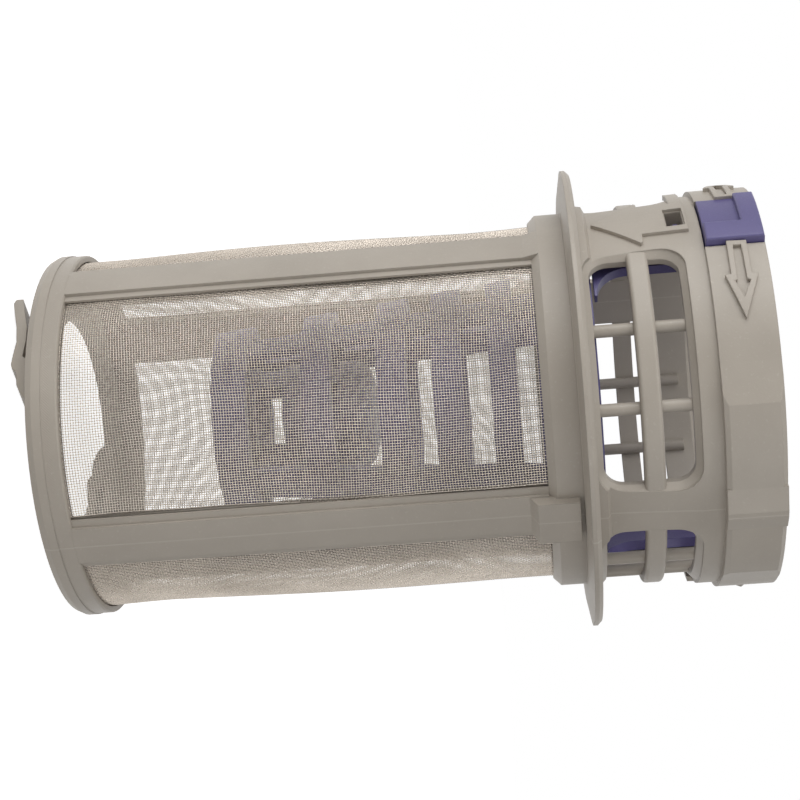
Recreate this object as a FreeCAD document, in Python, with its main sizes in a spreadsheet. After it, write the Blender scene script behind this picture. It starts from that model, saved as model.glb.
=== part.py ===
import FreeCAD, Part
import math
import os

import Sketcher

# A fine filter with a removable coarse basket. The frame's origin is on the filter's axis in the plane of
# the flange's underside, which lies on the sump. +Z points to the grip ring, +X to the middle of one latch
# post. Lengths are in mm and angles in degrees, counted from +X towards +Y.

SIZES = [
    ("flange_radius", 49.9, "thin disc that lies on the sump"),
    ("flange_thick", 2.6, ""),
    ("seat_radius", 45.0, "where the flange's underside starts to rise"),
    ("seat_rise", 0.85, "rise of the underside at the flange's edge"),
    ("sleeve_drop", 111.5, "underside of the flange to the bottom plate's underside"),
    ("bore_radius", 37.0, "inside of bottom ring, ribs and collar"),
    ("ring_radius", 40.2, "bottom ring"),
    ("ring_height", 6.75, ""),
    ("ring_round", 0.7, "slope at the lower edge of the bottom ring"),
    ("ring_slope", 1.4, "height of that slope"),
    ("ring_line", 3.3, "level of the step on the ring over the plate's underside"),
    ("ring_step", 0.2, "depth of the lower band above that step"),
    ("plate_thick", 1.8, "bottom plate"),
    ("drain_radius", 26.0, "hole in the bottom plate"),
    ("wall_radius", 39.2, "side flanges of the ribs"),
    ("rib_radius", 39.9, "raised band of the ribs"),
    ("rib_angle", 13.2, "raised band"),
    ("rib_foot_angle", 17.8, "band with its side flanges"),
    ("collar_radius", 40.7, ""),
    ("collar_height", 7.0, ""),
    ("collar_round", 1.6, ""),
    ("lug_radius", 42.8, "block at the upper end of two ribs"),
    ("lug_angle", 13.4, ""),
    ("lug_height", 8.5, ""),
    ("lug_turn", 90.6, "angle of a lug's middle"),
    ("lug_gap", 0.9, "between a lug and the flange"),
    ("lug_slope", 1.5, "height of the slope from the rib up to the lug"),
    ("ledge_radius", 35.6, "seat of the basket's rim"),
    ("ledge_thick", 2.6, ""),
    ("ledge_level", 1.4, "top of the ledge over the flange's underside"),
    ("step_radius", 42.4, "small ring on the flange"),
    ("step_height", 1.9, ""),
    ("cage_radius", 41.0, ""),
    ("cage_wall", 2.2, ""),
    ("cage_top_radius", 42.2, "the cage widens up to here"),
    ("cage_top_level", 24.0, ""),
    ("grip_level", 27.9, "underside of the grip ring"),
    ("grip_height", 12.0, ""),
    ("grip_radius", 44.5, ""),
    ("grip_bore", 40.4, "inside of the grip ring"),
    ("grip_bore_rise", 1.4, "grip ring's underside to the step in the bore"),
    ("grip_round", 1.0, "rounded edges of the grip ring"),
    ("grip_low_radius", 43.2, "lower fields of the grip ring beside the tabs"),
    ("grip_low_start", -54.5, "lower field"),
    ("grip_low_end", 48.5, "lower field"),
    ("grip_ramp", 11.0, "slope from a lower field up to the full radius"),
    ("ridge_rise", 0.9, "ridge along the parting line"),
    ("ridge_start", 82.0, "foot of the ridge's long slope"),
    ("ridge_edge", 88.6, "near side of the ridge's top"),
    ("ridge_drop", 90.6, "far side of the ridge's top"),
    ("ridge_end", 94.7, ""),
    ("window_level", 4.2, "lower edge of the windows"),
    ("window_height", 18.2, ""),
    ("window_start", 12.7, "side of a window next to the latch post"),
    ("window_span", 68.7, ""),
    ("window_corner", 4.0, ""),
    ("far_window_start", 98.6, "side of the next window after the parting line"),
    ("far_window_span", 62.4, ""),
    ("window_bevel", 1.3, "width of the slope round the outside of a window"),
    ("window_bevel_depth", 0.8, "that slope starts this far below the foot of the cage"),
    ("bar_radius", 41.4, "bar across each window"),
    ("bar_thick", 2.3, ""),
    ("bar_level", 12.1, ""),
    ("bar_height", 4.3, ""),
    ("bar_round", 0.9, ""),
    ("rod_radius", 1.3, "round rods behind the windows"),
    ("rod_circle", 38.4, ""),
    ("rod_spread", 12.0, "angle from a window's middle to a rod"),
    ("rod_end", 27.0, "upper end of the rods"),
    ("mesh_radius", 38.6, "outside of the woven sleeve"),
    ("mesh_thick", 0.5, ""),
    ("mesh_grip", 4.4, "length of mesh held in the bottom ring and in the collar"),
    ("mesh_panel_start", 2.0, "side of a mesh panel inside a rib, from the rib's middle"),
    ("mesh_clearance", 0.05, "between the mesh and the plastic moulded round it"),
    ("mesh_ridge", 0.12, "height of the ridges"),
    ("mesh_ridge_width", 1.2, ""),
    ("mesh_gap_angle", 11.4, "width of a gap in the mesh"),
    ("mesh_gap_height", 13.2, ""),
    ("mesh_column_step", 14.0, ""),
    ("mesh_row_step", 15.9, ""),
    ("hook_in", 28.0, "bayonet hooks under the bottom plate"),
    ("hook_out", 34.0, ""),
    ("hook_middle", 12.0, "angle of the plane that the hook's side view is drawn in"),
    ("hook_thick", 2.0, ""),
    ("hook_tip", -8.3, "angle of the hook's tip"),
    ("hook_tip_drop", 7.0, "bottom plate to the lower side of the flared tip"),
    ("hook_flare", 10.4, "angle where the flare begins"),
    ("hook_flare_drop", 4.7, ""),
    ("hook_waist", 17.5, "angle of the narrowest place under the plate"),
    ("hook_waist_drop", 4.15, ""),
    ("hook_stub", 24.8, "angle where the hook's stub begins"),
    ("hook_heel", 28.4, "angle of the stub's outer corner"),
    ("hook_heel_drop", 4.8, ""),
    ("hook_gusset", 41.5, "angle where the gusset behind the stub ends"),
    ("hook_gusset_drop", 3.6, ""),
    ("hole_start", -7.2, "latch hole in the latch post"),
    ("hole_span", 9.5, ""),
    ("hole_level", 21.3, ""),
    ("hole_height", 3.4, ""),
    ("tab_turn", 1.6, "angle of the press tab's middle"),
    ("tab_width", 17.2, ""),
    ("tab_clearance", 0.35, "between a tab and its notch"),
    ("tab_radius", 44.8, ""),
    ("tab_wall", 1.8, ""),
    ("tab_lip", 4.1, "upper lip of the finger recess"),
    ("tab_side_lip", 5.4, "side lip of the finger recess"),
    ("tab_recess", 1.4, "depth of the finger recess"),
    ("tab_round", 0.5, "rounded edges of a tab's face"),
    ("arm_radius", 36.8, "outside of a latch arm"),
    ("arm_thick", 2.2, ""),
    ("arm_start", -18.6, ""),
    ("arm_span", 28.6, ""),
    ("arm_top", 38.2, ""),
    ("foot_spread", 11.0, "angle that the arm's foot reaches beyond each side of the arm"),
    ("foot_height", 0.6, ""),
    ("foot_fillet", 6.5, ""),
    ("arm_clearance", 0.3, "between a tab and the notch's floor"),
    ("foot_gap", 0.55, "between an arm's foot and the rim"),
    ("nose_radius", 40.6, "catch nose in the latch hole"),
    ("nose_start", -3.4, ""),
    ("nose_span", 4.2, ""),
    ("nose_height", 2.3, ""),
    ("nose_land", 0.9, "flat end of the nose"),
    ("nose_play", 0.95, "between the nose and the hole's upper edge"),
    ("basket_turn", 3.0, "angle of a basket post"),
    ("basket_clearance", 0.3, "between the basket and the body"),
    ("basket_wall", 1.7, ""),
    ("rim_height", 3.0, ""),
    ("cone_top_radius", 27.0, "outside of the basket's cone below the flare"),
    ("cone_bottom_radius", 19.6, "outside of the basket's cone at its bottom"),
    ("basket_drop", 76.8, "underside of the flange to the basket's bottom"),
    ("flare_drop", 6.5, "underside of the flange to the foot of the flare"),
    ("band_rise", 0.9, "bands standing out from the cone"),
    ("band_one_top", -69.3, ""),
    ("band_two_low", -57.2, ""),
    ("band_two_top", -50.9, ""),
    ("band_three_low", -41.0, ""),
    ("band_three_top", -34.7, ""),
    ("band_four_low", -29.2, ""),
    ("band_four_top", -23.1, ""),
    ("band_five_low", -17.2, ""),
    ("band_five_top", -11.5, ""),
    ("basket_post_angle", 15.0, "post between two windows of a row"),
    ("turret_radius", 12.0, "turret in the basket"),
    ("turret_wall", 1.6, ""),
    ("turret_height", 33.4, "over the basket's bottom"),
    ("turret_round", 4.5, ""),
    ("slot_width", 12.4, "slots in the turret"),
    ("slot_height", 6.0, ""),
    ("slot_one", 8.0, "level of the lower slots over the basket's bottom"),
    ("slot_two", 20.4, "level of the upper slots over the basket's bottom"),
]

# What follows from the sizes above, so that pieces that meet share their values.
DERIVED = [
    ("nil", "0"),
    ("plate_low", "-sleeve_drop"),
    ("plate_top", "plate_low + plate_thick"),
    ("ring_top", "plate_low + ring_height"),
    ("ring_slope_level", "plate_low + ring_slope"),
    ("ring_line_level", "plate_low + ring_line"),
    ("ring_step_radius", "ring_radius - ring_step"),
    ("ring_round_radius", "ring_radius - ring_round"),
    ("ring_top_round_level", "ring_top - ring_round / 2"),
    ("ring_top_round_radius", "ring_step_radius - ring_round / 2"),
    ("collar_low", "-collar_height"),
    ("collar_round_level", "collar_low + collar_round"),
    ("collar_round_radius", "collar_radius - collar_round"),
    ("ledge_low", "ledge_level - ledge_thick"),
    ("flange_round", "flange_thick / 3"),
    ("flange_edge_radius", "flange_radius - flange_round"),
    ("flange_edge_top", "flange_thick - flange_round"),
    ("step_top", "flange_thick + step_height"),
    ("step_slope_top", "step_top + (step_radius - cage_radius) / 2"),
    ("cage_bore", "cage_radius - cage_wall"),
    ("funnel_in", "cage_radius - window_bevel_depth"),
    ("funnel_low", "window_level - window_bevel"),
    ("funnel_height", "window_height + 2 * window_bevel"),
    ("funnel_corner", "window_corner + window_bevel"),
    ("funnel_angle", "window_bevel / cage_radius * 180 / pi"),
    ("grip_top", "grip_level + grip_height"),
    ("grip_low_edge", "grip_level + grip_round"),
    ("grip_low_edge_radius", "grip_radius - grip_round / 2"),
    ("grip_top_edge", "grip_top - grip_round"),
    ("grip_top_edge_radius", "grip_radius - grip_round"),
    ("grip_bore_edge_radius", "grip_bore + grip_round"),
    ("grip_bore_low", "grip_level + grip_bore_rise"),
    ("grip_bore_step", "grip_bore_low + (grip_bore - cage_bore)"),
    ("rib_low", "ring_top - ring_round"),
    ("rib_back", "mesh_radius - mesh_thick"),
    ("foot_half", "rib_foot_angle / 2"),
    ("panel_span", "90 - rib_foot_angle"),
    ("panel_height", "collar_low - ring_top"),
    ("lug_top", "-lug_gap"),
    ("lug_low", "lug_top - lug_height"),
    ("lug_slope_low", "lug_low - lug_slope"),
    ("rib_flare_low", "collar_low - collar_round"),
    ("window_bite", "flange_radius + 10"),
    ("bar_in", "bar_radius - bar_thick"),
    ("rod_low", "ledge_level - ledge_thick / 2"),
    ("rod_length", "rod_end - rod_low"),
    ("mesh_in", "mesh_radius - mesh_thick"),
    ("mesh_low", "ring_top - mesh_grip"),
    ("mesh_top", "collar_low + mesh_grip"),
    ("mesh_skin", "mesh_radius - mesh_ridge"),
    ("mesh_middle", "(ring_top + collar_low) / 2"),
    ("mesh_height", "mesh_top - mesh_low"),
    ("mesh_panel_span", "90 - 2 * mesh_panel_start"),
    ("mesh_panel_middle", "mesh_panel_start + mesh_panel_span / 2"),
    ("groove_start", "mesh_panel_start - mesh_clearance"),
    ("groove_span", "90 - 2 * groove_start"),
    ("groove_radius", "mesh_radius + mesh_clearance"),
    ("groove_in", "mesh_in - mesh_clearance"),
    ("groove_low", "mesh_low - mesh_clearance"),
    ("groove_height", "mesh_height + 2 * mesh_clearance"),
    ("gap_first", "45 - 2 * mesh_column_step - mesh_gap_angle / 2"),
    ("gap_low", "mesh_middle - 2.5 * mesh_row_step - mesh_gap_height / 2"),
    ("hook_low", "plate_low - hook_tip_drop - 1"),
    ("hook_reach", "plate_top - hook_low"),
    ("notch_width", "tab_width + 2 * tab_clearance"),
    ("notch_back", "-notch_width / 2"),
    ("notch_level", "grip_level"),
    ("tab_back", "-tab_width / 2"),
    ("tab_low", "grip_level + arm_clearance"),
    ("tab_height", "grip_top - tab_low"),
    ("tab_in", "arm_radius - arm_thick / 2"),
    ("tab_recess_width", "tab_width - tab_side_lip"),
    ("tab_recess_height", "tab_height - tab_lip"),
    ("arm_in", "arm_radius - arm_thick"),
    ("rim_radius", "rod_circle - rod_radius - basket_clearance"),
    ("rim_low", "ledge_level + basket_clearance"),
    ("rim_top", "rim_low + rim_height"),
    ("arm_low", "rim_top + foot_gap"),
    ("arm_height", "arm_top - arm_low"),
    ("foot_start", "arm_start - foot_spread"),
    ("foot_span", "arm_span + 2 * foot_spread"),
    ("foot_top", "arm_low + foot_height"),
    ("foot_reach", "arm_in * foot_spread * pi / 180"),
    ("foot_fillet_used", "min(foot_fillet; 0.98 * foot_reach)"),
    ("nose_top", "hole_level + hole_height - nose_play"),
    ("nose_land_low", "nose_top - nose_land"),
    ("nose_low", "nose_top - nose_height"),
    ("nose_middle", "nose_start + nose_span / 2"),
    ("basket_low", "-basket_drop"),
    ("basket_floor", "basket_low + basket_wall"),
    ("cone_slope", "(cone_top_radius - cone_bottom_radius) / (basket_drop - flare_drop)"),
    ("flare_low", "-flare_drop"),
    ("cone_in_top", "cone_top_radius - basket_wall"),
    ("cone_in_low", "cone_bottom_radius - basket_wall"),
    ("turret_in", "turret_radius - turret_wall"),
    ("turret_top", "basket_low + turret_height"),
    ("turret_round_level", "turret_top - turret_round"),
    ("turret_round_radius", "turret_radius - turret_round"),
    ("turret_in_top", "turret_top - turret_wall"),
    ("turret_in_round", "turret_round - turret_wall"),
    ("window_row_angle", "90 - basket_post_angle"),
    ("window_row_start", "basket_post_angle / 2"),
    ("row_one_height", "band_two_low - band_one_top"),
    ("row_two_height", "band_three_low - band_two_top"),
    ("row_three_height", "band_four_low - band_three_top"),
    ("row_four_height", "band_five_low - band_four_top"),
    ("row_five_height", "flare_low - band_five_top"),
    ("slot_back", "-slot_width / 2"),
    ("slot_length", "2 * turret_radius + 2"),
    ("slot_start", "-slot_length / 2"),
    ("slot_one_level", "basket_low + slot_one"),
    ("slot_two_level", "basket_low + slot_two"),
    ("flare_radius", "rim_low + flare_drop"),
    ("flare_in_radius", "flare_radius + basket_wall"),
    ("flare_top_radius", "cone_top_radius + flare_radius"),
    ("flare_in_top", "rim_low + basket_wall"),
    ("band_one_low_radius", "cone_bottom_radius + band_rise"),
    ("row_core", "turret_radius + 2"),
    ("quarter", "90"),
    ("middle_radius", "cone_in_low - 1"),
    ("quarter_start", "-quarter / 2"),
    ("middle_height", "turret_height + 1"),
    ("quarter_height", "rim_top - basket_low + 1"),
    ("row_bite", "cone_top_radius + 6"),
    ("field_low", "cage_top_level"),
    ("field_height", "grip_top - cage_top_level + 1"),
    ("ridge_radius", "grip_radius + ridge_rise"),
    ("ridge_low", "grip_level"),
    ("ridge_height", "grip_height"),
    ("tab_recess_radius", "tab_radius - tab_recess"),
    ("tab_core_out", "tab_recess_radius - tab_wall"),
    ("tab_core_in", "arm_radius + tab_wall / 2"),
    ("tab_core_height", "tab_height - tab_wall"),
    ("tab_core_width", "tab_width - 2 * tab_wall"),
    ("tab_core_back", "-tab_core_width / 2"),
    ("tab_recess_back", "tab_back - 1"),
    ("tab_recess_reach", "tab_recess_width + 1"),
    ("nose_root", "arm_radius - arm_thick / 2"),
    ("gap_core", "mesh_in - 1"),
    ("gap_bite", "mesh_radius + 1"),
    ("gap_top", "gap_low + 6 * mesh_row_step"),
    ("gap_column_height", "gap_top - gap_low"),
]
BAND_LEVELS = [
    "one_top", "two_low", "two_top", "three_low", "three_top",
    "four_low", "four_top", "five_low", "five_top",
]
RIDGE_HALF = "(mesh_row_step - mesh_gap_height + mesh_ridge_width) / 2"
for band in BAND_LEVELS:
    DERIVED.append((f"cone_{band}", f"cone_bottom_radius + cone_slope * (band_{band} - basket_low)"))
    DERIVED.append((f"band_{band}_radius", f"cone_{band} + band_rise"))
for k in range(7):
    DERIVED.append((f"ridge_low_{k}", f"gap_low + {k} * mesh_row_step - {RIDGE_HALF}"))
    DERIVED.append((f"ridge_top_{k}", f"ridge_low_{k} + mesh_ridge_width"))
for k in range(5):
    DERIVED.append((f"gap_start_{k}", f"gap_first + {k} * mesh_column_step"))
for k in range(6):
    DERIVED.append((f"gap_low_{k}", f"gap_low + {k} * mesh_row_step"))
for point, radius, angle in (
    ("field_a", "grip_low_radius", "grip_low_start"),
    ("field_b", "grip_low_radius", "grip_low_end"),
    ("field_c", "grip_radius", "grip_low_end + grip_ramp"),
    ("field_d", "window_bite", "grip_low_end + grip_ramp"),
    ("field_e", "window_bite", "grip_low_start - grip_ramp"),
    ("field_f", "grip_radius", "grip_low_start - grip_ramp"),
    ("ridge_a", "grip_radius", "ridge_start"),
    ("ridge_b", "ridge_radius", "ridge_edge"),
    ("ridge_c", "ridge_radius", "ridge_drop"),
    ("ridge_d", "grip_radius", "ridge_end"),
    ("ridge_e", "grip_low_radius - 1", "ridge_end"),
    ("ridge_f", "grip_low_radius - 1", "ridge_start"),
):
    DERIVED.append((point + "_x", f"({radius}) * cos(({angle}) * 1 deg)"))
    DERIVED.append((point + "_y", f"({radius}) * sin(({angle}) * 1 deg)"))

for name in ("window", "far_window"):
    DERIVED.append((name + "_middle", f"{name}_start + {name}_span / 2"))
    DERIVED.append((name + "_funnel_start", f"{name}_start - funnel_angle"))
    DERIVED.append((name + "_funnel_span", f"{name}_span + 2 * funnel_angle"))
    DERIVED.append((name + "_bar_start", f"{name}_start - 3"))
    DERIVED.append((name + "_bar_span", f"{name}_span + 6"))
    DERIVED.append((name + "_rod_one", f"{name}_middle - rod_spread"))
    DERIVED.append((name + "_rod_two", f"{name}_middle + rod_spread"))

# Side view of a hook: the arm's lower side from the tip, the heel, the gusset, and the upper side back.
HOOK_POINTS = [
    ("hook_tip", "hook_tip_drop - 0.2"),
    ("hook_tip + 3", "hook_tip_drop"),
    ("hook_flare", "hook_flare_drop"),
    ("hook_waist", "hook_waist_drop"),
    ("hook_heel - 1.4", "hook_heel_drop"),
    ("hook_heel", "hook_heel_drop - 0.2"),
    ("hook_heel + 2", "hook_gusset_drop"),
    ("hook_gusset - 6.3", "hook_gusset_drop - 0.2"),
    ("hook_gusset - 2.4", "hook_gusset_drop - 1.3"),
    ("hook_gusset - 0.5", "hook_gusset_drop - 2.5"),
    ("hook_gusset", "-plate_thick / 2"),
    ("hook_stub", "-plate_thick / 2"),
    ("hook_stub", "hook_heel_drop - hook_thick - 0.9"),
    ("hook_stub - 0.8", "hook_heel_drop - hook_thick - 0.3"),
    ("hook_waist", "hook_waist_drop - hook_thick"),
    ("hook_flare", "hook_flare_drop - hook_thick - 0.3"),
    ("hook_tip + 4", "hook_tip_drop - hook_thick - 0.3"),
    ("hook_tip", "hook_tip_drop - hook_thick + 0.3"),
]
for k, (angle, drop) in enumerate(HOOK_POINTS):
    DERIVED.append((f"hook_x_{k}", f"hook_out * sin(({angle} - hook_middle) * 1 deg)"))
    DERIVED.append((f"hook_y_{k}", f"plate_low - ({drop})"))

doc = FreeCAD.newDocument("dishwasher_filter")
sheet = doc.addObject("Spreadsheet::Sheet", "sizes")
sheet.Label = "driving dimensions"


def fill_sheet():
    row = 1
    for name, value, note in SIZES:
        sheet.set(f"A{row}", name)
        sheet.set(f"B{row}", str(value))
        sheet.setAlias(f"B{row}", name)
        sheet.set(f"C{row}", note)
        row += 1
    for name, formula in DERIVED:
        sheet.set(f"A{row}", name)
        sheet.set(f"B{row}", "=" + formula)
        sheet.setAlias(f"B{row}", name)
        row += 1
    doc.recompute()


def size(name):
    return float(getattr(sheet, name))


def bind(thing, prop, text):
    """Ties a property to a size, or to a short sum of sizes written with {name} for each."""
    if "{" in text:
        text = text.replace("{", "sizes.").replace("}", "")
    else:
        text = "sizes." + text
    thing.setExpression(prop, text)


def turn(thing, name):
    """Turns a piece about the filter's axis by the named angle."""
    thing.Placement.Rotation = FreeCAD.Rotation(FreeCAD.Vector(0, 0, 1), 1)
    bind(thing, "Placement.Rotation.Angle", name)


def origin_plane(body, role):
    return [plane for plane in body.Origin.OriginFeatures if plane.Role == role][0]


def arc_between(start, end, radius, side):
    """Arc with its centre on the left (1) or the right (-1) of start to end, and whether it runs backwards."""
    chord = end - start
    middle = (start + end) * 0.5
    across = FreeCAD.Vector(-chord.y, chord.x, 0)
    across.normalize()
    rise = math.sqrt(max(radius**2 - (chord.Length / 2) ** 2, 0.0))
    centre = middle + across * rise * side
    first, last = (start, end) if side > 0 else (end, start)
    from_angle = math.atan2(first.y - centre.y, first.x - centre.x)
    to_angle = math.atan2(last.y - centre.y, last.x - centre.x)
    if to_angle < from_angle:
        to_angle += 2 * math.pi
    circle = Part.Circle(centre, FreeCAD.Vector(0, 0, 1), radius)
    return Part.ArcOfCircle(circle, from_angle, to_angle), side < 0


def outline(body, role, label, points, arcs=None):
    """Closed sketch through the named points. arcs gives a start point's radius, by name, and its side."""
    arcs = arcs or {}
    sketch = body.newObject("Sketcher::SketchObject", label)
    sketch.AttachmentSupport = [(origin_plane(body, role), "")]
    sketch.MapMode = "FlatFace"
    corners = [FreeCAD.Vector(size(x), size(y), 0) for x, y in points]
    ends = []
    for i, corner in enumerate(corners):
        after = corners[(i + 1) % len(corners)]
        if i in arcs:
            piece, backwards = arc_between(corner, after, size(arcs[i][0]), arcs[i][1])
        else:
            piece, backwards = Part.LineSegment(corner, after), False
        sketch.addGeometry(piece, False)
        ends.append((2, 1) if backwards else (1, 2))
    for i in range(len(corners)):
        after = (i + 1) % len(corners)
        sketch.addConstraint(Sketcher.Constraint("Coincident", i, ends[i][1], after, ends[after][0]))
    for i, (x, y) in enumerate(points):
        for kind, name, axis in (("DistanceX", x, -2), ("DistanceY", y, -1)):
            if name == "nil":
                sketch.addConstraint(Sketcher.Constraint("PointOnObject", i, ends[i][0], axis))
                continue
            index = sketch.addConstraint(Sketcher.Constraint(kind, -1, 1, i, ends[i][0], size(name)))
            sketch.setExpression(f"Constraints[{index}]", "sizes." + name)
    for i, (name, _) in arcs.items():
        index = sketch.addConstraint(Sketcher.Constraint("Radius", i, size(name)))
        sketch.setExpression(f"Constraints[{index}]", "sizes." + name)
    return sketch


def turned(label, points, arcs=None, angle=None):
    """Solid of revolution about the filter's axis, or a sector of the named angle with +X in its middle."""
    body = doc.addObject("PartDesign::Body", label)
    sketch = outline(body, "XZ_Plane", label + "_section", points, arcs)
    solid = body.newObject("PartDesign::Revolution", label + "_turned")
    solid.Profile = sketch
    solid.ReferenceAxis = (sketch, ["V_Axis"])
    solid.Angle = 360.0
    if angle:
        solid.Midplane = True
        bind(solid, "Angle", angle)
    sketch.Visibility = False
    body.Tip = solid
    return body


def padded(label, points, low, height, arcs=None):
    """Prism over an outline in plan."""
    body = doc.addObject("PartDesign::Body", label)
    sketch = outline(body, "XY_Plane", label + "_plan", points, arcs)
    solid = body.newObject("PartDesign::Pad", label + "_pad")
    solid.Profile = sketch
    bind(solid, "Length", height)
    body.Tip = solid
    bind(body, "Placement.Base.z", low)
    return body


def pushed(label, points, length):
    """Prism along +X over a side view in the YZ plane."""
    body = doc.addObject("PartDesign::Body", label)
    sketch = outline(body, "YZ_Plane", label + "_side", points)
    solid = body.newObject("PartDesign::Pad", label + "_pad")
    solid.Profile = sketch
    bind(solid, "Length", length)
    body.Tip = solid
    return body


def cylinder(label, radius, low, height, angle=None, start=None):
    """Cylinder, or a wedge of the named angle, standing on the named level."""
    solid = doc.addObject("Part::Cylinder", label)
    bind(solid, "Radius", radius)
    bind(solid, "Height", height)
    if angle:
        bind(solid, "Angle", angle)
    if start:
        turn(solid, start)
    bind(solid, "Placement.Base.z", low)
    return solid


def fuse(label, things):
    solid = doc.addObject("Part::MultiFuse", label)
    solid.Shapes = things
    solid.Refine = True
    return solid


def cut(label, base, tool):
    solid = doc.addObject("Part::Cut", label)
    solid.Base = base
    solid.Tool = tool
    solid.Refine = True
    return solid


def common(label, things):
    solid = doc.addObject("Part::MultiCommon", label)
    solid.Shapes = things
    return solid


def mirrored(label, thing, normal):
    solid = doc.addObject("Part::Mirroring", label)
    solid.Source = thing
    solid.Normal = normal
    return solid


def opposite(label, thing):
    """The same piece half a turn round the axis."""
    across = mirrored(label + "_across", thing, (1, 0, 0))
    return mirrored(label, across, (0, 1, 0))


def quartered(label, thing):
    """The piece with its mirror images in the XZ and YZ planes, as four pieces."""
    left = mirrored(label + "_left", thing, (1, 0, 0))
    right = mirrored(label + "_right", thing, (0, 1, 0))
    far = mirrored(label + "_far", left, (0, 1, 0))
    return [thing, left, right, far]


def ring_sector(label, inner, outer, low, height, angle, start):
    wedge = cylinder(label + "_wedge", outer, low, height, angle, start)
    core = cylinder(label + "_core", inner, low, height)
    return cut(label, wedge, core)


def rounded(label, thing, edges, radius):
    solid = doc.addObject("Part::Fillet", label)
    solid.Base = thing
    solid.Edges = [(index, size(radius), size(radius)) for index in edges]
    return solid


def edges_where(thing, test):
    doc.recompute()
    return [i + 1 for i, edge in enumerate(thing.Shape.Edges) if test(edge)]


def is_radial(edge):
    """Straight, level and pointing at the filter's axis."""
    if len(edge.Vertexes) != 2:
        return False
    a, b = edge.Vertexes[0].Point, edge.Vertexes[1].Point
    along = math.hypot(b.x - a.x, b.y - a.y)
    return abs(a.z - b.z) < 1e-6 and along > 0.5 and abs(a.x * b.y - a.y * b.x) < 1e-4 * along


def level_of(edge):
    return edge.Vertexes[0].Point.z


def angle_of(edge):
    point = max((vertex.Point for vertex in edge.Vertexes), key=lambda p: math.hypot(p.x, p.y))
    return math.degrees(math.atan2(point.y, point.x))


# The grey moulding.


def shell():
    """Bottom ring, sleeve wall, collar, flange, cage and grip ring as one turned tube."""
    points = [
        ("drain_radius", "plate_low"),
        ("ring_round_radius", "plate_low"),
        ("ring_radius", "ring_slope_level"),
        ("ring_radius", "ring_line_level"),
        ("ring_step_radius", "ring_line_level"),
        ("ring_step_radius", "ring_top_round_level"),
        ("ring_top_round_radius", "ring_top"),
        ("wall_radius", "ring_top"),
        ("wall_radius", "collar_low"),
        ("collar_round_radius", "collar_low"),
        ("collar_radius", "collar_round_level"),
        ("collar_radius", "nil"),
        ("seat_radius", "nil"),
        ("flange_radius", "seat_rise"),
        ("flange_radius", "flange_edge_top"),
        ("flange_edge_radius", "flange_thick"),
        ("step_radius", "flange_thick"),
        ("step_radius", "step_top"),
        ("cage_radius", "step_slope_top"),
        ("cage_top_radius", "cage_top_level"),
        ("cage_top_radius", "grip_level"),
        ("grip_low_edge_radius", "grip_level"),
        ("grip_radius", "grip_low_edge"),
        ("grip_radius", "grip_top_edge"),
        ("grip_top_edge_radius", "grip_top"),
        ("grip_bore_edge_radius", "grip_top"),
        ("grip_bore", "grip_top_edge"),
        ("grip_bore", "grip_bore_step"),
        ("cage_bore", "grip_bore_low"),
        ("cage_bore", "ledge_level"),
        ("ledge_radius", "ledge_level"),
        ("ledge_radius", "ledge_low"),
        ("bore_radius", "ledge_low"),
        ("bore_radius", "plate_top"),
        ("drain_radius", "plate_top"),
    ]
    return turned("shell", points)


def mesh_panels():
    """What is cut away between the ribs."""
    wedge = cylinder("panel_opening", "window_bite", "ring_top", "panel_height", "panel_span", "foot_half")
    return quartered("panel_openings", wedge)


def windows():
    """Cutters for the windows, each with one that slopes outwards round it."""
    def is_inner(edge):
        first, last = edge.ParameterRange
        points = [edge.valueAt(first + (last - first) * part) for part in (0, 0.3, 0.6, 1)]
        return all(math.hypot(point.x, point.y) < size("funnel_in") + 0.001 for point in points)

    openings = []
    for name in ("window", "far_window"):
        wedge = cylinder(
            name + "_wedge", "window_bite", "window_level", "window_height", name + "_span", name + "_start"
        )
        opening = rounded(name + "_opening", wedge, edges_where(wedge, is_radial), "window_corner")
        block = ring_sector(
            name + "_block",
            "funnel_in",
            "window_bite",
            "funnel_low",
            "funnel_height",
            name + "_funnel_span",
            name + "_funnel_start",
        )
        block = rounded(name + "_round_block", block, edges_where(block, is_radial), "funnel_corner")
        funnel = doc.addObject("Part::Chamfer", name + "_funnel")
        funnel.Base = block
        funnel.Edges = [(i, size("window_bevel"), size("window_bevel")) for i in edges_where(block, is_inner)]
        openings += [opening, opposite(name + "_opposite", opening)]
        openings += [funnel, opposite(name + "_funnel_opposite", funnel)]
    return openings


def ribs():
    """Raised bands on the ribs. Two run up on to the collar and two end in a lug."""
    plain = [
        ("rib_back", "rib_low"),
        ("rib_radius", "rib_low"),
        ("rib_radius", "rib_flare_low"),
        ("collar_radius", "collar_round_level"),
        ("collar_radius", "nil"),
        ("rib_back", "nil"),
    ]
    short = [
        ("rib_back", "rib_low"),
        ("rib_radius", "rib_low"),
        ("rib_radius", "collar_low"),
        ("rib_back", "collar_low"),
    ]
    block = [
        ("rib_back", "lug_slope_low"),
        ("rib_radius", "lug_slope_low"),
        ("lug_radius", "lug_low"),
        ("lug_radius", "lug_top"),
        ("rib_back", "lug_top"),
    ]
    plain_rib = turned("plain_rib", plain, angle="rib_angle")
    lug_rib = turned("lug_rib", short, angle="rib_angle")
    lug_rib.Placement.Rotation = FreeCAD.Rotation(FreeCAD.Vector(0, 0, 1), 90)
    lug = turned("lug", block, angle="lug_angle")
    turn(lug, "lug_turn")
    pieces = []
    for piece in (plain_rib, lug_rib, lug):
        pieces += [piece, opposite(piece.Label + "_opposite", piece)]
    return pieces


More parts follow.
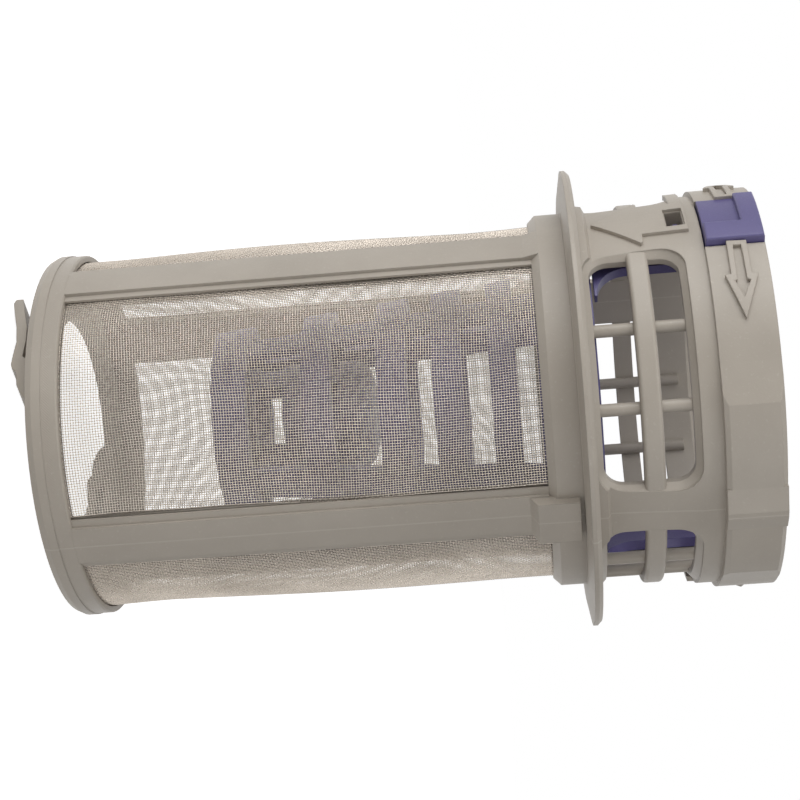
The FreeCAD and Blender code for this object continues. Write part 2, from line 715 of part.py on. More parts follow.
def window_bars():
    def is_long(edge):
        middle = edge.valueAt(sum(edge.ParameterRange) / 2)
        return edge.Length > 10 and math.hypot(middle.x, middle.y) > size("bar_radius") - 0.01

    bars = []
    for name in ("window", "far_window"):
        bar = ring_sector(
            name + "_bar_block",
            "bar_in",
            "bar_radius",
            "bar_level",
            "bar_height",
            name + "_bar_span",
            name + "_bar_start",
        )
        bar = rounded(name + "_bar", bar, edges_where(bar, is_long), "bar_round")
        bars += [bar, opposite(name + "_bar_opposite", bar)]
    return bars


def window_rods():
    rods = []
    for name in ("window_rod_one", "window_rod_two", "far_window_rod_one", "far_window_rod_two"):
        rod = doc.addObject("Part::Cylinder", name + "_round")
        bind(rod, "Radius", "rod_radius")
        bind(rod, "Height", "rod_length")
        bind(rod, "Placement.Base.x", "{rod_circle} * cos({" + name + "} * 1 deg)")
        bind(rod, "Placement.Base.y", "{rod_circle} * sin({" + name + "} * 1 deg)")
        bind(rod, "Placement.Base.z", "rod_low")
        rods += [rod, opposite(name + "_opposite", rod)]
    return rods


def hooks():
    """Bayonet hooks under the bottom plate: a bent arm with a flared tip, a stub and a gusset."""
    points = [(f"hook_x_{k}", f"hook_y_{k}") for k in range(len(HOOK_POINTS))]
    side = pushed("hook_side", points, "window_bite")
    ring = tube("hook_ring", "hook_in", "hook_out", "hook_low", "hook_reach")
    hook = turned_to("hook", common("hook_block", [ring, side]), "hook_middle")
    return [hook, opposite("hook_opposite", hook)]


def box(label, length, width, height, back, low, front=None):
    """Box along +X from the axis, or from the named place, with its near side at the named y."""
    solid = doc.addObject("Part::Box", label)
    bind(solid, "Length", length)
    bind(solid, "Width", width)
    bind(solid, "Height", height)
    if front:
        bind(solid, "Placement.Base.x", front)
    bind(solid, "Placement.Base.y", back)
    bind(solid, "Placement.Base.z", low)
    return solid


def turned_to(label, thing, angle):
    """The piece turned about the axis as a whole."""
    group = doc.addObject("Part::Compound", label)
    group.Links = [thing]
    turn(group, angle)
    return group


def grip_field():
    """Cutter that lowers the grip ring on both sides of a tab, with a slope at each end."""
    points = [(f"field_{letter}_x", f"field_{letter}_y") for letter in "abcdef"]
    arcs = {0: ("grip_low_radius", 1), 3: ("window_bite", -1)}
    return padded("grip_field", points, "field_low", "field_height", arcs)


def grip_ridge():
    points = [(f"ridge_{letter}_x", f"ridge_{letter}_y") for letter in "abcdef"]
    return padded("grip_ridge", points, "ridge_low", "ridge_height")


def make_filter_body():
    walls = cut("shell_with_windows", shell(), fuse("window_tools", windows()))
    walls = cut("shell_with_panels", walls, fuse("panel_tools", mesh_panels()))
    field = grip_field()
    fields = fuse("grip_fields", [field, opposite("grip_field_opposite", field)])
    walls = cut("shell_with_fields", walls, fields)
    ridge = grip_ridge()
    walls = fuse("shell_with_ribs", [walls, ridge, opposite("grip_ridge_opposite", ridge)] + ribs())
    walls = fuse("shell_with_bars", [walls] + window_bars())
    walls = fuse("shell_with_rods", [walls] + window_rods())
    walls = fuse("shell_with_hooks", [walls] + hooks())
    hole = cylinder("latch_hole", "window_bite", "hole_level", "hole_height", "hole_span", "hole_start")
    notch = box("tab_notch", "window_bite", "notch_width", "grip_height", "notch_back", "notch_level")
    notch = turned_to("tab_notch_turned", notch, "tab_turn")
    groove = ring_sector(
        "mesh_groove",
        "groove_in",
        "groove_radius",
        "groove_low",
        "groove_height",
        "groove_span",
        "groove_start",
    )
    tools = [hole, opposite("latch_hole_opposite", hole)]
    tools += [notch, opposite("tab_notch_opposite", notch)]
    tools += quartered("mesh_grooves", groove)
    return cut("filter_body", walls, fuse("holes_and_notches", tools))


def tube(label, inner, outer, low, height):
    core = cylinder(label + "_core", inner, low, height)
    return cut(label, cylinder(label + "_outer", outer, low, height), core)


# The woven sleeve.


def make_mesh_sleeve():
    points = [("mesh_in", "mesh_low"), ("mesh_skin", "mesh_low")]
    for k in range(7):
        points += [
            ("mesh_skin", f"ridge_low_{k}"),
            ("mesh_radius", f"ridge_low_{k}"),
            ("mesh_radius", f"ridge_top_{k}"),
            ("mesh_skin", f"ridge_top_{k}"),
        ]
    points += [("mesh_skin", "mesh_top"), ("mesh_in", "mesh_top")]
    blank = turned("mesh_panel_blank", points, angle="mesh_panel_span")
    turn(blank, "mesh_panel_middle")
    columns = []
    for k in range(5):
        names = ("gap_bite", "gap_low", "gap_column_height", "mesh_gap_angle", f"gap_start_{k}")
        columns.append(cylinder(f"gap_column_{k}", *names))
    rows = [tube(f"gap_row_{k}", "gap_core", "gap_bite", f"gap_low_{k}", "mesh_gap_height") for k in range(6)]
    gaps = common("mesh_gaps", [fuse("gap_columns", columns), fuse("gap_rows", rows)])
    sleeve = doc.addObject("Part::Compound", "mesh_sleeve")
    sleeve.Links = quartered("mesh_panels", cut("mesh_panel", blank, gaps))
    return sleeve


# The coarse basket.


def basket_shell():
    """Cone with its bands, the flared mouth and rim, the floor and the turret, as one turned section."""
    points = [
        ("turret_in", "basket_low"),
        ("band_one_low_radius", "basket_low"),
        ("band_one_top_radius", "band_one_top"),
        ("cone_one_top", "band_one_top"),
    ]
    for number in ("two", "three", "four", "five"):
        points += [
            (f"cone_{number}_low", f"band_{number}_low"),
            (f"band_{number}_low_radius", f"band_{number}_low"),
            (f"band_{number}_top_radius", f"band_{number}_top"),
            (f"cone_{number}_top", f"band_{number}_top"),
        ]
    arcs = {len(points): ("flare_radius", -1)}
    points += [
        ("cone_top_radius", "flare_low"),
        ("flare_top_radius", "rim_low"),
        ("rim_radius", "rim_low"),
        ("rim_radius", "rim_top"),
        ("flare_top_radius", "rim_top"),
    ]
    arcs[len(points)] = ("flare_in_radius", 1)
    points += [
        ("flare_top_radius", "flare_in_top"),
        ("cone_in_top", "flare_low"),
        ("cone_in_low", "basket_floor"),
        ("turret_radius", "basket_floor"),
    ]
    arcs[len(points)] = ("turret_round", 1)
    points += [
        ("turret_radius", "turret_round_level"),
        ("turret_round_radius", "turret_top"),
        ("nil", "turret_top"),
        ("nil", "turret_in_top"),
    ]
    arcs[len(points)] = ("turret_in_round", -1)
    points += [("turret_round_radius", "turret_in_top"), ("turret_in", "turret_round_level")]
    return turned("basket_shell", points, arcs)


def basket_windows():
    rows = [
        ("row_one", "band_one_top", "row_one_height"),
        ("row_two", "band_two_top", "row_two_height"),
        ("row_three", "band_three_top", "row_three_height"),
        ("row_four", "band_four_top", "row_four_height"),
        ("row_five", "band_five_top", "row_five_height"),
    ]
    openings = []
    for name, low, height in rows:
        sides = ("window_row_angle", "window_row_start")
        opening = ring_sector(name, "row_core", "row_bite", low, height, *sides)
        openings += quartered(name + "_openings", opening)
    return openings


def turret_slots():
    slots = []
    for name, level in (("slot_one_box", "slot_one_level"), ("slot_two_box", "slot_two_level")):
        through = box(name, "slot_length", "slot_width", "slot_height", "slot_back", level, "slot_start")
        for angle in (45, 135):
            group = doc.addObject("Part::Compound", f"{name}_{angle}")
            group.Links = [through]
            group.Placement.Rotation = FreeCAD.Rotation(FreeCAD.Vector(0, 0, 1), angle)
            slots.append(group)
    return slots


def make_coarse_basket():
    """Solids that meet face to face: the middle with the turret, and four quarters of the wall."""
    whole = cut("basket_whole", basket_shell(), fuse("basket_openings", basket_windows() + turret_slots()))
    space = cylinder("middle_space", "middle_radius", "basket_low", "middle_height")
    middle = common("basket_middle", [whole, space])
    space = ring_sector(
        "quarter_space",
        "middle_radius",
        "window_bite",
        "basket_low",
        "quarter_height",
        "quarter",
        "quarter_start",
    )
    quarter = common("basket_quarter", [whole, space])
    across = mirrored("basket_quarter_across", quarter, (1, -1, 0))
    basket = doc.addObject("Part::Compound", "coarse_basket")
    basket.Links = [
        middle,
        quarter,
        mirrored("basket_quarter_left", quarter, (1, 0, 0)),
        across,
        mirrored("basket_quarter_far", across, (0, 1, 0)),
    ]
    turn(basket, "basket_turn")
    return basket


# The latch arms.


def press_tab():
    """Tab with a finger recess in its face and a hollow back, lying along +X."""
    blank = common(
        "tab_blank",
        [
            tube("tab_ring", "nose_root", "tab_radius", "tab_low", "tab_height"),
            box("tab_block", "window_bite", "tab_width", "tab_height", "tab_back", "tab_low"),
        ],
    )
    sizes_of_recess = ("tab_recess_reach", "tab_recess_height", "tab_recess_back", "tab_low")
    recess = cut(
        "tab_recess_tool",
        box("tab_recess_block", "window_bite", *sizes_of_recess),
        cylinder("tab_recess_core", "tab_recess_radius", "tab_low", "tab_recess_height"),
    )
    sizes_of_hollow = ("tab_core_width", "tab_core_height", "tab_core_back", "tab_low")
    hollow = common(
        "tab_hollow",
        [
            tube("tab_hollow_ring", "tab_core_in", "tab_core_out", "tab_low", "tab_core_height"),
            box("tab_hollow_block", "window_bite", *sizes_of_hollow),
        ],
    )
    tab = cut("press_tab_sharp", blank, fuse("tab_tools", [recess, hollow]))

    def is_face_edge(edge):
        first, last = edge.ParameterRange
        points = [edge.valueAt(first + (last - first) * part) for part in (0, 0.5, 1)]
        return all(math.hypot(point.x, point.y) > size("tab_radius") - 0.01 for point in points)

    tab = rounded("press_tab", tab, edges_where(tab, is_face_edge), "tab_round")
    return turned_to("press_tab_turned", tab, "tab_turn")


def arm_plate():
    """Curved plate that widens with a hollow curve into its foot."""
    wall = ("arm_in", "arm_radius", "arm_low")
    plate = ring_sector("arm_blade", *wall, "arm_height", "arm_span", "arm_start")
    foot = ring_sector("arm_foot", *wall, "foot_height", "foot_span", "foot_start")
    joined = fuse("arm_blade_on_foot", [plate, foot])
    left = size("arm_start")
    right = size("arm_start") + size("arm_span")
    corners = edges_where(
        joined,
        lambda e: is_radial(e)
        and abs(level_of(e) - size("foot_top")) < 1e-6
        and min(abs(angle_of(e) - left), abs(angle_of(e) - right)) < 0.01,
    )
    return rounded("arm_plate", joined, corners, "foot_fillet_used")


def make_latch_arm():
    nose = turned(
        "catch_nose",
        [
            ("nose_root", "nose_low"),
            ("arm_radius", "nose_low"),
            ("nose_radius", "nose_land_low"),
            ("nose_radius", "nose_top"),
            ("nose_root", "nose_top"),
        ],
        angle="nose_span",
    )
    turn(nose, "nose_middle")
    return fuse("latch_arm_front", [arm_plate(), press_tab(), nose])


def check(thing):
    if "Invalid" in thing.State or "Error" in thing.State:
        raise SystemExit(f"{thing.Label} did not build")


def export(thing, label):
    thing.Label = label
    check(thing)
    if not thing.Shape.isValid():
        raise SystemExit(f"{label} is not a valid solid")
    thing.Shape.exportStep(f"parts/{label}.step")
    print(label, len(thing.Shape.Solids), "solid,", round(thing.Shape.Volume, 1), "mm3")


fill_sheet()
pieces = {
    "filter_body": make_filter_body(),
    "mesh_sleeve": make_mesh_sleeve(),
    "coarse_basket": make_coarse_basket(),
    "latch_arm_front": make_latch_arm(),
}
pieces["latch_arm_back"] = opposite("latch_arm_back", pieces["latch_arm_front"])
doc.recompute()
for thing in doc.Objects:
    check(thing)
os.makedirs("parts", exist_ok=True)
for label, thing in pieces.items():
    export(thing, label)
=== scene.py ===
import math

import bmesh
import bpy
import numpy as np
from mathutils import Matrix, Vector


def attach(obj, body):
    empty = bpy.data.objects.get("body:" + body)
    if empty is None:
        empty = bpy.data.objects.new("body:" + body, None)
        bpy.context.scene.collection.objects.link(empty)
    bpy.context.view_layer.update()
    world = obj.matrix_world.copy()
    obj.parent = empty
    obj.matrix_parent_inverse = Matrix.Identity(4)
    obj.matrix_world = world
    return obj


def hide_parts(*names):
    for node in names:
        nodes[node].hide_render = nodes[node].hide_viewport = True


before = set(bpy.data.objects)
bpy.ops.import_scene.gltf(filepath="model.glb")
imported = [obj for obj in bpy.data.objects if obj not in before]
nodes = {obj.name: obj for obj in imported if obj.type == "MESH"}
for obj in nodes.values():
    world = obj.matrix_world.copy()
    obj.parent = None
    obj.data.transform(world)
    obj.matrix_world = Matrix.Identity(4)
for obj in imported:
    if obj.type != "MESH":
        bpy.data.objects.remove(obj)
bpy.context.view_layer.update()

MM = 0.001

# The camera and where it stands, fitted to the photograph. The part lies along the picture's
# width, so the camera is rolled until the axis runs from left to right.
CAMERA_PLACE = Vector((0.22205, 0.31415, -0.0117))
CAMERA_RIGHT = Vector((-0.1004, -0.0127, 0.9949))
CAMERA_UP = Vector((0.8152, -0.5744, 0.0750))
CAMERA_LENS = 78.04
FLOOR_LEVEL = -0.1186
FLOOR_HALF = 4.0
FLOOR_SHADE = 0.8
FLOOR_LIFT = 0.90
AMBIENT = 0.15
AIM = Vector((0, 0, -0.03))

# Sizes shared with the solids, in millimetres and degrees about the axis.
MESH_RADIUS = 38.3
MESH_LOW = -105.3
MESH_TOP = -6.0
MESH_FIRST = 8.0
MESH_SPAN = 74.0
MESH_HELD = 14.0
WIRE_PITCH = 0.55
WIRE_RADIUS = 0.098
WIRE_SWING = 0.074
BAND_LOW = -108.2
BAND_TOP = -106.4
BAND_FADE = 0.2
FLASH_CORE = 0.06
FLASH_EDGE = 0.22
PLASTIC_IOR = 1.48
STEEL_METALLIC = 0.8
GRIP_FIELD = 43.2
GRIP_RISE = 0.85
CAGE_FOOT = (5.2, 41.0)
CAGE_HEAD = (24.0, 42.2)
CAGE_RISE = 0.75
BLOCK_RISE = 0.75
ARROW_MIRROR = 3.2
SIGN_ROOT = -0.4
SIGN_STEP = 2.0
SIGN_EDGE = 0.18


# Materials.


def new_material(name):
    mat = bpy.data.materials.new(name)
    mat.use_nodes = True
    tree = mat.node_tree
    tree.nodes.clear()
    out = tree.nodes.new("ShaderNodeOutputMaterial")
    bsdf = tree.nodes.new("ShaderNodeBsdfPrincipled")
    tree.links.new(bsdf.outputs["BSDF"], out.inputs["Surface"])
    return mat, tree, bsdf


def node(tree, kind, **values):
    made = tree.nodes.new("ShaderNode" + kind)
    for key, value in values.items():
        if key in made.inputs:
            made.inputs[key].default_value = value
        else:
            setattr(made, key, value)
    return made


def math_node(tree, operation, a, b=None):
    made = tree.nodes.new("ShaderNodeMath")
    made.operation = operation
    for slot, value in enumerate((a, b)):
        if value is None:
            continue
        if isinstance(value, (int, float)):
            made.inputs[slot].default_value = value
        else:
            tree.links.new(value, made.inputs[slot])
    return made.outputs[0]


def noise(tree, coords, scale, detail=3.0, roughness=0.55):
    made = tree.nodes.new("ShaderNodeTexNoise")
    made.inputs["Scale"].default_value = scale
    made.inputs["Detail"].default_value = detail
    made.inputs["Roughness"].default_value = roughness
    tree.links.new(coords, made.inputs["Vector"])
    return made.outputs["Fac"]


def between(tree, value, low, high, to_low, to_high):
    made = tree.nodes.new("ShaderNodeMapRange")
    made.inputs["From Min"].default_value = low
    made.inputs["From Max"].default_value = high
    made.inputs["To Min"].default_value = to_low
    made.inputs["To Max"].default_value = to_high
    tree.links.new(value, made.inputs["Value"])
    return made.outputs["Result"]


def mix_colours(tree, factor, a, b):
    made = tree.nodes.new("ShaderNodeMix")
    made.data_type = "RGBA"
    sockets = {"A": a, "B": b, "Factor": factor}
    for socket in made.inputs:
        wanted = "VALUE" if socket.name == "Factor" else "RGBA"
        if socket.type != wanted:
            continue
        value = sockets[socket.name]
        if isinstance(value, (tuple, float, int)):
            socket.default_value = value
        else:
            tree.links.new(value, socket)
    return [s for s in made.outputs if s.type == "RGBA"][0]


def seen_directly(tree):
    """One for a ray from the camera, or for one that a mirror or a clear thing passes on."""
    path = node(tree, "LightPath")
    seen = math_node(tree, "MAXIMUM", path.outputs["Is Camera Ray"], path.outputs["Is Glossy Ray"])
    return math_node(tree, "MAXIMUM", seen, path.outputs["Is Transmission Ray"])


def pick_shader(tree, factor, first, second):
    made = tree.nodes.new("ShaderNodeMixShader")
    tree.links.new(factor, made.inputs[0])
    tree.links.new(first, made.inputs[1])
    tree.links.new(second, made.inputs[2])
    return made.outputs[0]


def bump(tree, height, strength, distance, normal=None):
    made = tree.nodes.new("ShaderNodeBump")
    made.inputs["Strength"].default_value = strength
    made.inputs["Distance"].default_value = distance
    tree.links.new(height, made.inputs["Height"])
    if normal is not None:
        tree.links.new(normal, made.inputs["Normal"])
    return made.outputs["Normal"]


def rounded_edges(tree, radius):
    made = tree.nodes.new("ShaderNodeBevel")
    made.samples = 4
    made.inputs["Radius"].default_value = radius
    return made.outputs["Normal"]


def srgb(r, g, b):
    def linear(c):
        c /= 255.0
        return c / 12.92 if c <= 0.04045 else ((c + 0.055) / 1.055) ** 2.4

    return (linear(r), linear(g), linear(b), 1.0)


def weave_print(tree, split):
    """The faint print that the mesh leaves on the moulded band below it."""
    turn = math_node(tree, "ARCTAN2", split.outputs["Y"], split.outputs["X"])
    per_turn = round(2.0 * math.pi * MESH_RADIUS / WIRE_PITCH)
    round_wave = math_node(tree, "SINE", math_node(tree, "MULTIPLY", turn, float(per_turn)))
    per_metre = 2.0 * math.pi / (WIRE_PITCH * MM)
    long_wave = math_node(tree, "SINE", math_node(tree, "MULTIPLY", split.outputs["Z"], per_metre))
    knuckles = math_node(tree, "MULTIPLY", round_wave, long_wave)
    level = split.outputs["Z"]
    low = (BAND_LOW - BAND_FADE) * MM, (BAND_LOW + BAND_FADE) * MM
    top = (BAND_TOP - BAND_FADE) * MM, (BAND_TOP + BAND_FADE) * MM
    above = between(tree, level, *low, 0.0, 1.0)
    below = between(tree, level, *top, 1.0, 0.0)
    return math_node(tree, "MULTIPLY", knuckles, math_node(tree, "MULTIPLY", above, below))


def plastic(name, colour, dark, light, grain, rough, edge, moulded):
    """Moulded plastic with a fine grain. Lengths are in metres.

    With moulded, it also has the line of flash, where the mould's halves met on the plane x = 0,
    and the print of the mesh.
    """
    mat, tree, bsdf = new_material(name)
    coords = node(tree, "TexCoord").outputs["Object"]
    split = node(tree, "SeparateXYZ")
    tree.links.new(coords, split.inputs["Vector"])
    cloud = noise(tree, coords, 45.0, 4.0)
    speck = noise(tree, coords, 1400.0, 2.0)
    fine = noise(tree, coords, grain, 3.0, 0.6)
    base = mix_colours(tree, between(tree, cloud, 0.35, 0.65, 0.0, 1.0), dark, colour)
    base = mix_colours(tree, between(tree, speck, 0.62, 0.80, 0.0, 0.35), base, light)
    height = fine
    if moulded:
        across = math_node(tree, "ABSOLUTE", split.outputs["X"])
        line = between(tree, across, FLASH_CORE * MM, FLASH_EDGE * MM, 1.0, 0.0)
        base = mix_colours(tree, math_node(tree, "MULTIPLY", line, 0.45), base, light)
        height = math_node(tree, "ADD", height, math_node(tree, "MULTIPLY", line, 2.5))
        printed = math_node(tree, "MULTIPLY", weave_print(tree, split), 1.2)
        height = math_node(tree, "ADD", height, printed)
    tree.links.new(base, bsdf.inputs["Base Color"])
    rough_map = between(tree, fine, 0.3, 0.7, rough - 0.06, rough + 0.08)
    tree.links.new(rough_map, bsdf.inputs["Roughness"])
    bsdf.inputs["IOR"].default_value = PLASTIC_IOR
    normal = bump(tree, height, 0.22, 0.00008, rounded_edges(tree, edge))
    tree.links.new(normal, bsdf.inputs["Normal"])
    return mat


def steel():
    """Bright stainless wire."""
    mat, tree, bsdf = new_material("woven_steel")
    coords = node(tree, "TexCoord").outputs["Object"]
    cloud = noise(tree, coords, 60.0, 3.0)
    bright = mix_colours(
        tree, between(tree, cloud, 0.3, 0.7, 0.0, 1.0), srgb(194, 184, 172), srgb(220, 210, 198)
    )
    tree.links.new(bright, bsdf.inputs["Base Color"])
    bsdf.inputs["Metallic"].default_value = STEEL_METALLIC
    rough_map = between(tree, noise(tree, coords, 900.0), 0.3, 0.7, 0.22, 0.34)
    tree.links.new(rough_map, bsdf.inputs["Roughness"])
    normal = bump(tree, noise(tree, coords, 2600.0), 0.15, 0.00002)
    tree.links.new(normal, bsdf.inputs["Normal"])
    return mat


GREY = plastic(
    "grey_plastic",
    srgb(168, 160, 149),
    srgb(160, 152, 141),
    srgb(186, 179, 169),
    grain=2600.0,
    rough=0.46,
    edge=0.0003,
    moulded=True,
)
PURPLE = plastic(
    "purple_plastic",
    srgb(88, 82, 128),
    srgb(82, 76, 120),
    srgb(108, 102, 150),
    grain=3000.0,
    rough=0.42,
    edge=0.00025,
    moulded=False,
)
STEEL = steel()


def dress(obj, mat):
    obj.data.materials.clear()
    obj.data.materials.append(mat)


dress(nodes["filter_body"], GREY)
for name in ("coarse_basket", "latch_arm_front", "latch_arm_back"):
    dress(nodes[name], PURPLE)


# The woven mesh.


def held(level):
    """How free the mesh is at a level: nothing at its moulded-in ends, and one between them."""
    low = np.clip((level - MESH_LOW) / MESH_HELD, 0, 1)
    top = np.clip((MESH_TOP - level) / MESH_HELD, 0, 1)
    return low * top


def wave(angle, level):
    """How far the slack mesh stands out from its round, in millimetres."""
    turn = np.radians(angle)
    swell = 0.30 * np.sin(2.0 * turn + 0.06 * level)
    swell = swell + 0.22 * np.sin(5.0 * turn - 0.045 * level + 1.0)
    return swell * held(level)


def drawn(angle, level):
    """The angle and level of a crossing once the weave is drawn out of square a little."""
    turn = np.radians(angle)
    free = held(level)
    shift = 0.55 * np.sin(0.055 * level + 3.0 * turn) + 0.20 * np.sin(0.17 * level + 7.0 * turn)
    lift = 0.45 * np.sin(4.0 * turn + 0.03 * level) + 0.18 * np.sin(11.0 * turn + 0.12 * level)
    return angle + np.degrees(shift * free / MESH_RADIUS), level + lift * free


def wires(along_axis, first, columns, rows):
    """Vertices and faces of a panel's wires that run one way, each a three-sided tube."""
    angle_step = math.degrees(WIRE_PITCH / MESH_RADIUS)
    angles = first + angle_step * np.arange(columns)
    levels = MESH_LOW + WIRE_PITCH * np.arange(rows)
    grid_angle, grid_level = np.meshgrid(angles, levels, indexing="ij")
    odd = np.add.outer(np.arange(columns), np.arange(rows)) % 2
    over = np.where(odd == 0, 1.0, -1.0)
    if not along_axis:
        over = -over
    grid_angle, grid_level = drawn(grid_angle, grid_level)
    middle = MESH_RADIUS + wave(grid_angle, grid_level) + over * WIRE_SWING
    turn = np.radians(grid_angle)
    out = np.stack([np.cos(turn), np.sin(turn), np.zeros_like(turn)], -1)
    side = np.stack([-np.sin(turn), np.cos(turn), np.zeros_like(turn)], -1)
    up = np.zeros_like(out)
    up[..., 2] = 1.0
    centre = out * middle[..., None]
    centre[..., 2] = grid_level
    across = side if along_axis else up
    corners = []
    for k in range(3):
        a = math.radians(90 + 120 * k)
        corners.append(centre + WIRE_RADIUS * (math.sin(a) * out + math.cos(a) * across))
    verts = np.stack(corners, 2)
    if not along_axis:
        verts = verts.transpose(1, 0, 2, 3)
    lines, steps = verts.shape[:2]
    index = np.arange(lines * steps * 3).reshape(lines, steps, 3)
    faces = []
    for k in range(3):
        n = (k + 1) % 3
        ring = [index[:, :-1, k], index[:, 1:, k], index[:, 1:, n], index[:, :-1, n]]
        if along_axis:
            ring.reverse()
        faces.append(np.stack(ring, -1).reshape(-1, 4))
    return verts.reshape(-1, 3), np.concatenate(faces)


def mesh_object(name, verts, faces):
    """An object from arrays of vertices in millimetres and of four-sided faces."""
    data = bpy.data.meshes.new(name)
    data.vertices.add(len(verts))
    data.vertices.foreach_set("co", (np.asarray(verts, float) * MM).ravel())
    data.loops.add(faces.size)
    data.loops.foreach_set("vertex_index", faces.ravel())
    data.polygons.add(len(faces))
    data.polygons.foreach_set("loop_start", np.arange(len(faces)) * faces.shape[1])
    data.polygons.foreach_set("use_smooth", np.ones(len(faces), bool))
    data.update(calc_edges=True)
    data.validate()
    obj = bpy.data.objects.new(name, data)
    bpy.context.scene.collection.objects.link(obj)
    return obj


columns = int(MESH_SPAN / math.degrees(WIRE_PITCH / MESH_RADIUS))
rows = int((MESH_TOP - MESH_LOW) / WIRE_PITCH)
for panel in range(4):
    first = MESH_FIRST + 90.0 * panel
    warp, warp_faces = wires(True, first, columns, rows)
    weft, weft_faces = wires(False, first, columns, rows)
    woven = mesh_object(
        f"woven_mesh_{panel + 1}",
        np.concatenate([warp, weft]),
        np.concatenate([warp_faces, weft_faces + len(warp)]),
    )
    dress(woven, STEEL)
    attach(woven, "body")
    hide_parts("mesh_sleeve")


# Raised signs: arrows that show how the part is turned, and where the latch goes in.


def grip_wall(level):
    return GRIP_FIELD


def cage_wall(level):
    """The radius of the cage's wall at a level: a cone up to its head, then a plain round."""
    share = (level - CAGE_FOOT[0]) / (CAGE_HEAD[0] - CAGE_FOOT[0])
    return CAGE_FOOT[1] + (CAGE_HEAD[1] - CAGE_FOOT[1]) * min(share, 1.0)


def relief(name, patches, wall, rise):
    """A raised sign on a round wall, from flat patches given as (angle, level) points."""
    bm = bmesh.new()
    corners = {}
    for patch in patches:
        for point in patch:
            if point not in corners:
                corners[point] = bm.verts.new((point[0], point[1], 0.0))
        bm.faces.new([corners[point] for point in patch])
    low = min(a for a, z in corners)
    high = max(a for a, z in corners)
    cut = math.floor(low)
    while cut < high:
        geom = bm.verts[:] + bm.edges[:] + bm.faces[:]
        bmesh.ops.bisect_plane(bm, geom=geom, plane_co=(cut, 0, 0), plane_no=(1, 0, 0))
        cut += SIGN_STEP
    grown = bmesh.ops.extrude_face_region(bm, geom=bm.faces[:])
    for v in grown["geom"]:
        if isinstance(v, bmesh.types.BMVert):
            v.co.z = 1.0
    for v in bm.verts:
        a, z, top = v.co
        r = (wall(z) + (rise if top > 0.5 else SIGN_ROOT)) * MM
        turn = math.radians(a)
        v.co = (r * math.cos(turn), r * math.sin(turn), z * MM)
    bmesh.ops.recalc_face_normals(bm, faces=bm.faces[:])
    data = bpy.data.meshes.new(name)
    bm.to_mesh(data)
    bm.free()
    obj = bpy.data.objects.new(name, data)
    bpy.context.scene.collection.objects.link(obj)
    soft = obj.modifiers.new("soft_edges", "BEVEL")
    soft.width = SIGN_EDGE * MM
    soft.segments = 2
    soft.limit_method = "ANGLE"
    dress(obj, GREY)
    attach(obj, "body")


def ring_of(outer, inner):
    """Patches between two loops of as many points."""
    count = len(outer)
    return [
        (outer[k], outer[(k + 1) % count], inner[(k + 1) % count], inner[k]) for k in range(count)
    ]


# The signs' corners as (angle, level).
GRIP_ARROW = [
    (13.0, 32.1), (24.3, 32.0), (24.6, 30.8), (37.4, 33.9),
    (24.6, 37.4), (24.2, 36.1), (13.2, 36.1),
]
GRIP_ARROW_HOLE = [
    (14.7, 33.3), (26.1, 33.1), (26.5, 32.6), (31.4, 34.0),
    (26.5, 35.7), (26.1, 35.0), (14.7, 34.9),
]
CAGE_ARROW = [
    (
        (-3.9, 5.9), (8.7, 15.5), (8.2, 15.9), (4.6, 16.0),
        (-12.5, 16.0), (-16.0, 15.9), (-16.5, 15.5),
    ),
    ((4.6, 16.0), (4.8, 21.0), (2.6, 21.0), (-7.5, 21.0), (-12.5, 21.0), (-12.5, 16.0)),
    ((4.8, 21.0), (4.9, 24.9), (2.6, 24.9), (2.6, 21.0)),
    ((4.9, 24.9), (4.9, 25.4), (-12.5, 25.4), (-12.5, 24.9), (-7.5, 24.9), (2.6, 24.9)),
    ((-7.5, 21.0), (-7.5, 24.9), (-12.5, 24.9), (-12.5, 21.0)),
]
CAGE_BLOCK = [((-12.5, 22.6), (-12.5, 25.4), (-28.0, 25.4), (-28.0, 22.6))]


def moved(patches, mirror, turn):
    """Patches mirrored about an angle, or not, and turned about the axis."""
    result = []
    for patch in patches:
        points = [(mirror - a if mirror else a, z) for a, z in patch]
        result.append(tuple((a + turn, z) for a, z in points))
    return result


grip_arrow = ring_of(GRIP_ARROW, GRIP_ARROW_HOLE)
for side, turn in (("front", 0.0), ("back", 180.0)):
    left = moved(grip_arrow, None, turn)
    relief(f"grip_arrow_{side}_left", left, grip_wall, GRIP_RISE)
    right = moved(grip_arrow, ARROW_MIRROR, turn)
    relief(f"grip_arrow_{side}_right", right, grip_wall, GRIP_RISE)
    relief(f"cage_arrow_{side}", moved(CAGE_ARROW, None, turn), cage_wall, CAGE_RISE)
    relief(f"cage_block_{side}", moved(CAGE_BLOCK, None, turn), cage_wall, BLOCK_RISE)


# Floor, light and camera.


def white_for_camera(name, shade, lift):
    """A pale matte floor that looks white to the camera and keeps the shadow on it."""
    mat = bpy.data.materials.new(name)
    mat.use_nodes = True
    tree = mat.node_tree
    tree.nodes.clear()
    out = tree.nodes.new("ShaderNodeOutputMaterial")
    diffuse = node(tree, "BsdfDiffuse", Color=(shade, shade, shade, 1.0))
    glow = node(tree, "Emission", Color=(1.0, 1.0, 1.0, 1.0), Strength=lift)
    both = tree.nodes.new("ShaderNodeAddShader")
    tree.links.new(diffuse.outputs[0], both.inputs[0])
    tree.links.new(glow.outputs[0], both.inputs[1])
    picked = pick_shader(tree, seen_directly(tree), diffuse.outputs[0], both.outputs[0])
    tree.links.new(picked, out.inputs["Surface"])
    return mat


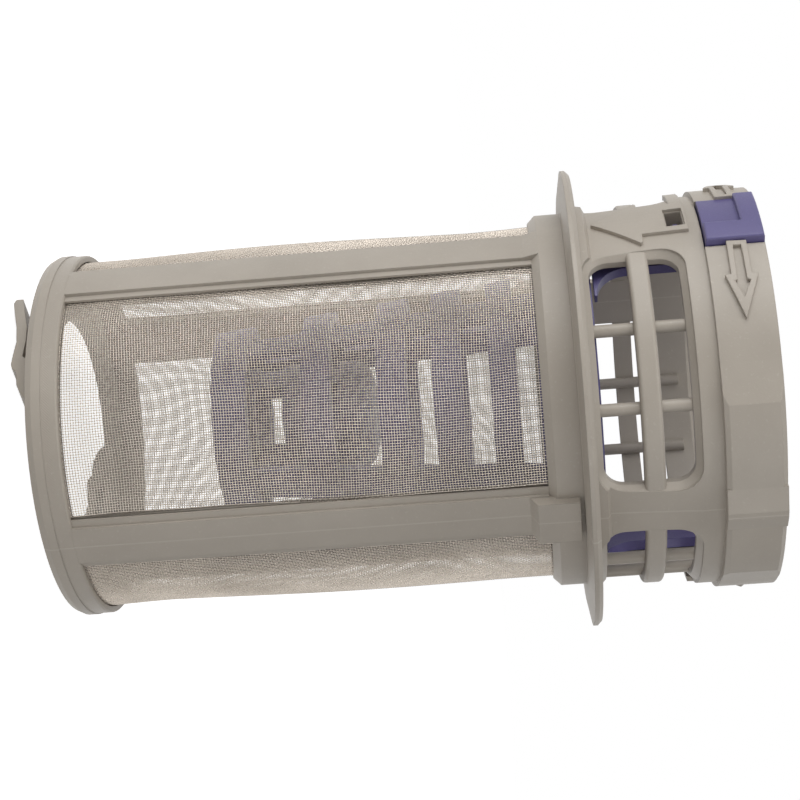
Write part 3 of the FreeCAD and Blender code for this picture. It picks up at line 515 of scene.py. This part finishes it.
floor_data = bpy.data.meshes.new("floor")
floor_corners = [
    (x * FLOOR_HALF, y * FLOOR_HALF, FLOOR_LEVEL) for x, y in ((-1, -1), (1, -1), (1, 1), (-1, 1))
]
floor_data.from_pydata(floor_corners, [], [(0, 1, 2, 3)])
floor = bpy.data.objects.new("floor", floor_data)
bpy.context.scene.collection.objects.link(floor)
floor_data.materials.append(white_for_camera("pale_floor", FLOOR_SHADE, FLOOR_LIFT))

scene = bpy.context.scene
world = bpy.data.worlds.new("studio")
scene.world = world
world.use_nodes = True
tree = world.node_tree
tree.nodes.clear()
out = tree.nodes.new("ShaderNodeOutputWorld")
ambient = node(tree, "Background", Color=(0.98, 0.98, 1.0, 1.0), Strength=AMBIENT)
white = node(tree, "Background", Color=(1.0, 1.0, 1.0, 1.0), Strength=1.0)
picked = pick_shader(tree, seen_directly(tree), ambient.outputs[0], white.outputs[0])
tree.links.new(picked, out.inputs["Surface"])


def area_light(name, place, size, power):
    """A square light at a place, turned towards the middle of the part."""
    light = bpy.data.lights.new(name, "AREA")
    light.shape = "SQUARE"
    light.size = size
    light.energy = power
    obj = bpy.data.objects.new(name, light)
    scene.collection.objects.link(obj)
    obj.location = place
    obj.rotation_euler = (AIM - Vector(place)).to_track_quat("-Z", "Y").to_euler()


towards = CAMERA_PLACE.normalized()
area_light("key", CAMERA_UP * 0.75 + towards * 0.40 + CAMERA_RIGHT * 0.10, 0.6, 4.9)
area_light("fill", towards * 0.70 - CAMERA_UP * 0.55 + CAMERA_RIGHT * 0.20, 0.7, 2.1)
area_light("side", towards * 0.50 + CAMERA_UP * 0.15 + CAMERA_RIGHT * 0.80, 0.6, 2.7)

camera = bpy.data.cameras.new("camera")
camera.lens = CAMERA_LENS
camera.sensor_width = 36.0
camera.clip_start = 0.01
camera_object = bpy.data.objects.new("camera", camera)
scene.collection.objects.link(camera_object)
right = CAMERA_RIGHT.normalized()
back = right.cross(CAMERA_UP).normalized()
up = back.cross(right)
turn = Matrix((right, up, back)).transposed().to_4x4()
camera_object.matrix_world = Matrix.Translation(CAMERA_PLACE) @ turn
scene.camera = camera_object
scene.view_settings.view_transform = "Standard"
